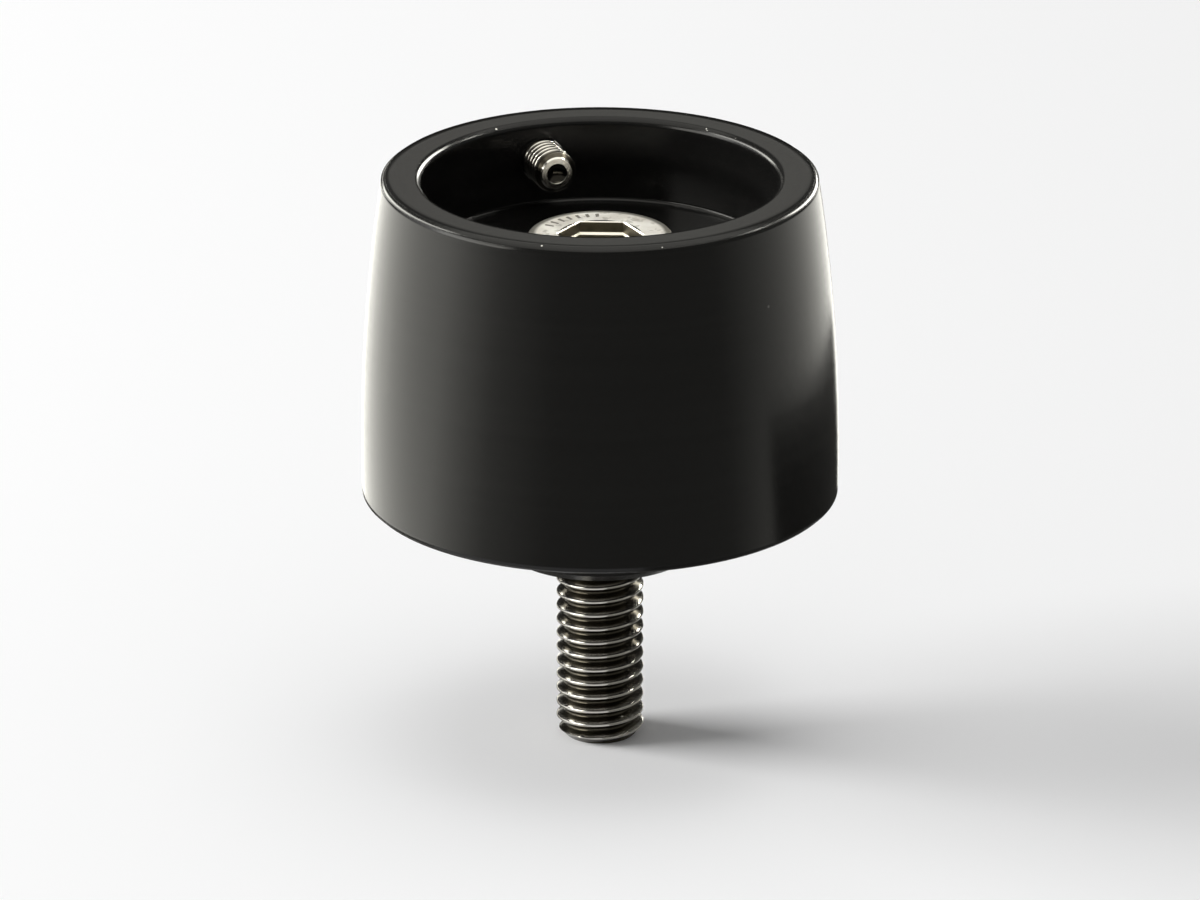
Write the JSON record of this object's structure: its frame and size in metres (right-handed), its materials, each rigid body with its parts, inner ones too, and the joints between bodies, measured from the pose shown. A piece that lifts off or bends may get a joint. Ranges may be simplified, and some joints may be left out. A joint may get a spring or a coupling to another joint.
{
  "type": "bar end weight",
  "caption": "Turned black bar end weight, open at its mouth, with a socket screw through its axis into the handlebar and a set screw through its rim.",
  "frame": {"origin": "centre of the fixing screw's tip, the lowest point", "axes": "+Z along the turned axis, from the screw's tip to the open mouth; the set screw points straight back, along +Y"},
  "size_m": [0.0322, 0.0322, 0.0401],
  "materials": {
    "black_anodised": "fine turned, satin black anodised",
    "stainless": "bright plain stainless steel"
  },
  "bodies": {
    "root": {"weight_body": "black_anodised", "fixing_screw": "stainless", "set_screw": "stainless"}
  },
  "joints": []
}
